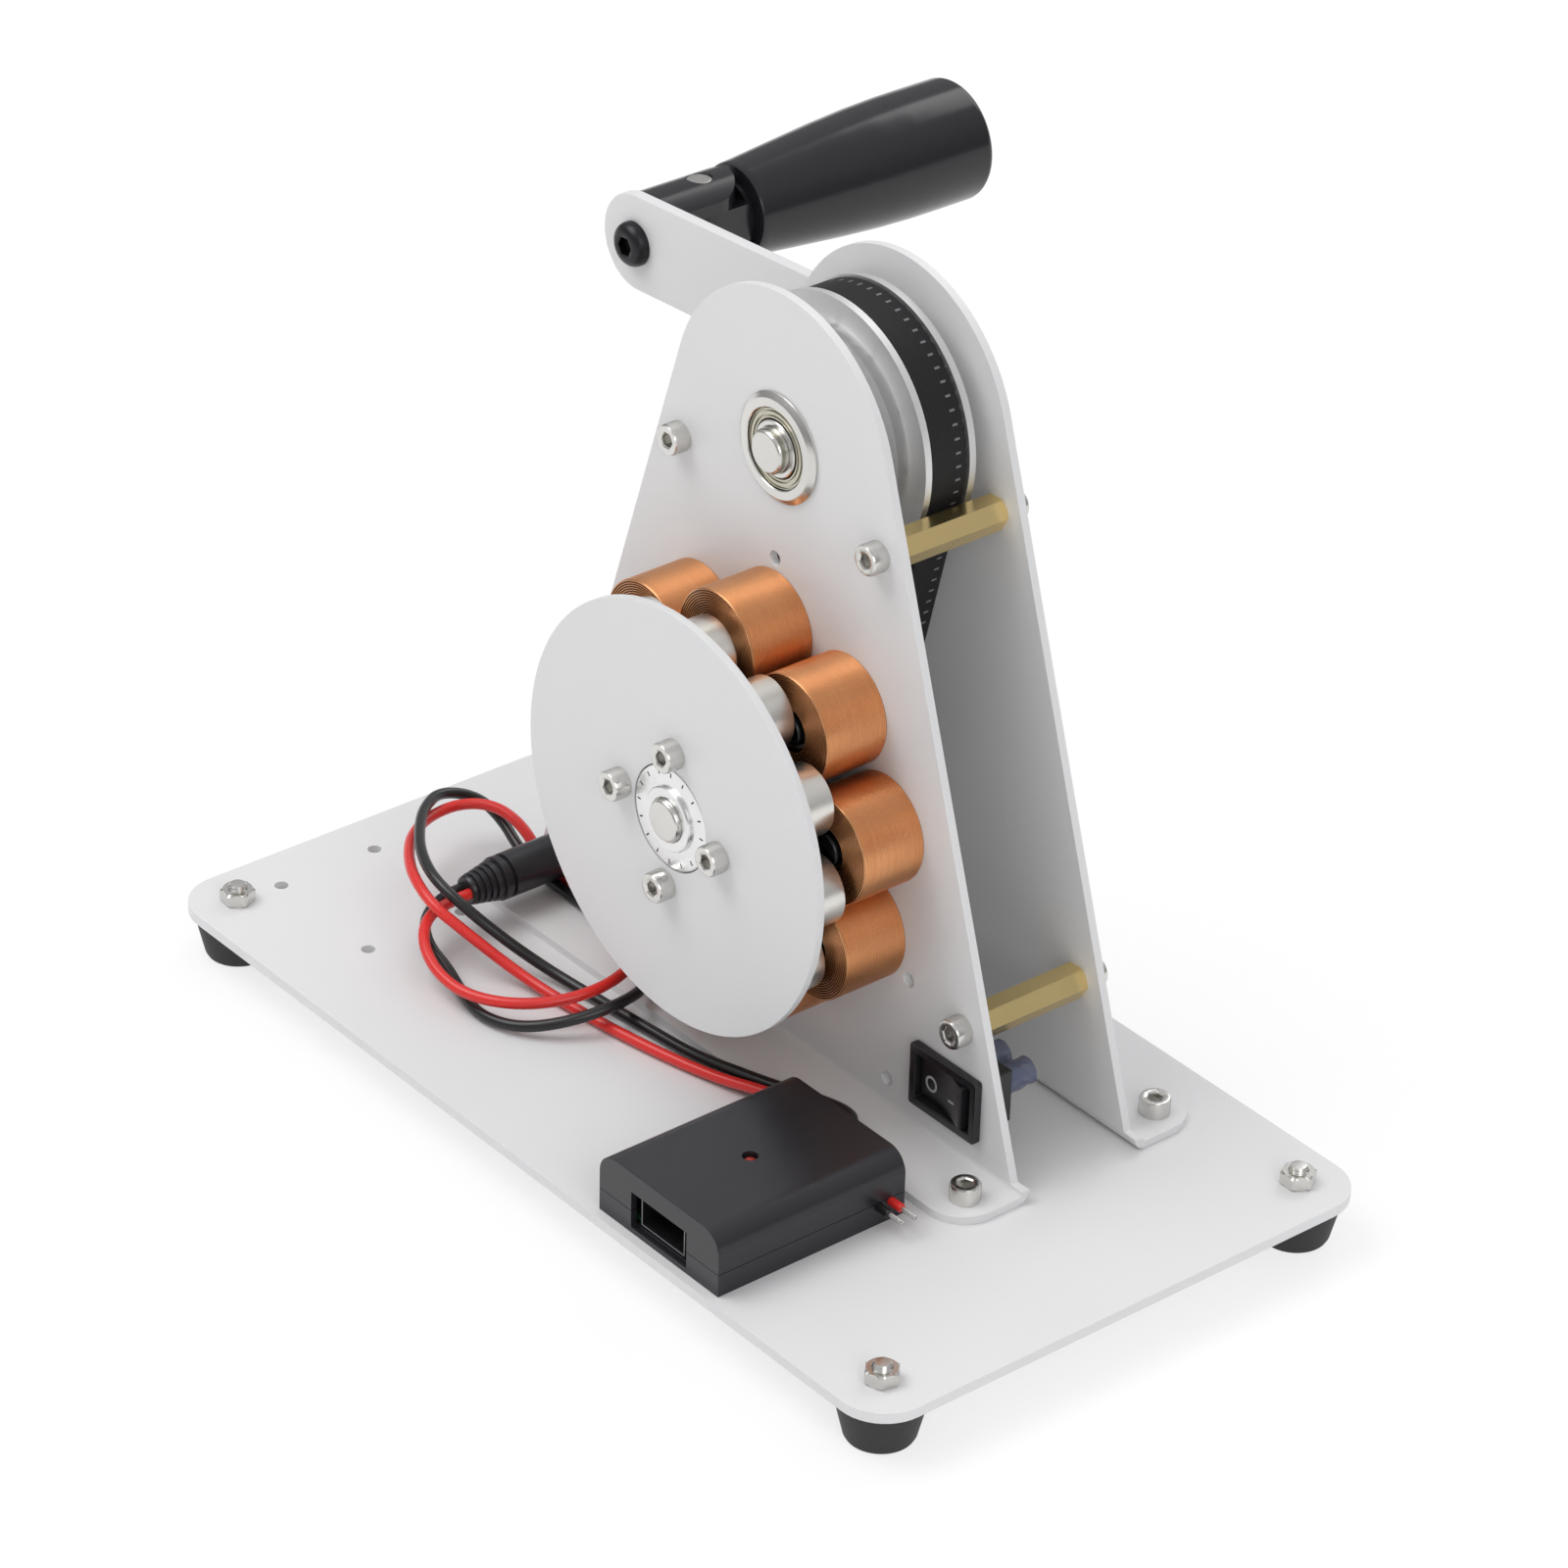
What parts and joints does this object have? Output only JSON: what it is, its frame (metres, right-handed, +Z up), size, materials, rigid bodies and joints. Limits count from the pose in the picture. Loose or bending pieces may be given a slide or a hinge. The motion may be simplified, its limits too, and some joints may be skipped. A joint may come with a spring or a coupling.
{
  "type": "hand crank generator",
  "caption": "Hand crank generator: a folding crank turns a magnet rotor over flat coils through a toothed belt, on a base plate with a USB outlet box and a switch.",
  "frame": {"origin": "centre of the base plate's top face", "axes": "+Z up; X along the long side of the base, the outlet box on the +X side; both shafts along Y, the magnet rotor on the -Y side and the crank arm on the +Y side"},
  "size_m": [0.25, 0.2116, 0.1923],
  "materials": {
    "powder_white": "smooth white powder coat",
    "foot_rubber": "matte moulded rubber",
    "zinc_steel": "bright zinc plated",
    "black_screws": "black oxide",
    "brass": "machined brass",
    "bearing_shield": "satin pressed shield",
    "copper_wire": "enamelled copper winding",
    "core_plastic": "matte black plastic",
    "pulley_aluminium": "machined aluminium",
    "magnet_nickel": "nickel plated",
    "belt_rubber": "matte black rubber with cord",
    "grip_plastic": "satin black plastic",
    "switch_plastic": "gloss black plastic",
    "sleeve_clear": "clear bluish sleeve",
    "case_plastic": "fine textured black plastic",
    "tongue_plastic": "white plastic",
    "board_green": "solder masked board",
    "lamp_plastic": "clear red lens",
    "wire_red": "red wire insulation",
    "wire_black": "black wire insulation",
    "tinned_wire": "tinned strands"
  },
  "bodies": {
    "stand": {"base_plate": "powder_white", "rubber_feet": "foot_rubber", "foot_screws": "zinc_steel", "foot_nuts": "zinc_steel", "front_plate": "powder_white", "rear_plate": "powder_white", "plate_foot_screws": "zinc_steel", "plate_foot_nuts": "zinc_steel", "standoffs": "brass", "front_standoff_screws": "zinc_steel", "rear_standoff_screws": "zinc_steel", "bearing_outer_races": "zinc_steel", "bearing_shields": "bearing_shield", "coil_windings": "copper_wire", "coil_cores": "core_plastic", "coil_washers": "zinc_steel", "coil_screws": "black_screws", "coil_nuts": "zinc_steel", "coil_lead": "copper_wire", "switch_body": "switch_plastic", "switch_terminals": "brass", "terminal_sleeves": "sleeve_clear", "usb_case_bottom": "case_plastic", "usb_case_top": "case_plastic", "usb_board": "board_green", "usb_shell": "zinc_steel", "usb_tongue": "tongue_plastic", "status_led": "lamp_plastic", "cut_wire_red": "wire_red", "cut_wire_black": "wire_black", "tinned_wire_ends": "tinned_wire", "panel_jack": "case_plastic", "panel_jack_nut": "case_plastic", "barrel_plug": "case_plastic", "cable_black": "wire_black", "cable_red": "wire_red", "drive_belt": "belt_rubber"},
    "crank": {"crank_shaft": "zinc_steel", "large_pulley": "pulley_aluminium", "crank_set_screws": "black_screws", "upper_inner_races": "zinc_steel", "crank_hub": "pulley_aluminium", "crank_arm": "powder_white", "arm_screws": "black_screws", "arm_washer": "zinc_steel", "handle_fork": "grip_plastic", "hinge_pin": "zinc_steel"},
    "handle": {"handle_spindle": "grip_plastic"},
    "grip": {"grip": "grip_plastic"},
    "rotor": {"rotor_shaft": "zinc_steel", "small_pulley": "pulley_aluminium", "rotor_hub": "pulley_aluminium", "rotor_set_screws": "black_screws", "rotor_disc": "powder_white", "disc_screws": "zinc_steel", "magnets": "magnet_nickel", "lower_inner_races": "zinc_steel"},
    "rocker": {"rocker": "switch_plastic"}
  },
  "joints": [
    {"name": "crank_spin", "type": "hinge", "parent": "stand", "child": "crank", "pos_m": [-0.00166, 0.0495, 0.14361], "axis": [0, 1, 0], "continuous": true, "deforming": ["drive_belt"]},
    {"name": "rotor_spin", "type": "hinge", "parent": "stand", "child": "rotor", "pos_m": [-0.00166, 0, 0.0634], "axis": [0, 1, 0], "continuous": true},
    {"name": "handle_fold", "type": "hinge", "parent": "crank", "child": "handle", "pos_m": [-0.10701, 0.068, 0.13634], "axis": [0.0689, 0, -0.9976], "range_deg": [0, 90]},
    {"name": "grip_spin", "type": "hinge", "parent": "handle", "child": "grip", "pos_m": [-0.10701, 0.1, 0.13634], "axis": [0, 1, 0], "continuous": true},
    {"name": "switch_rocker", "type": "hinge", "parent": "stand", "child": "rocker", "pos_m": [0.0597, 0.00784, 0.0158], "axis": [0, 0, 1], "range_deg": [0, 20]}
  ],
  "couplings": [
    {"joint": "rotor_spin", "follows": "crank_spin", "ratio": 3}
  ]
}
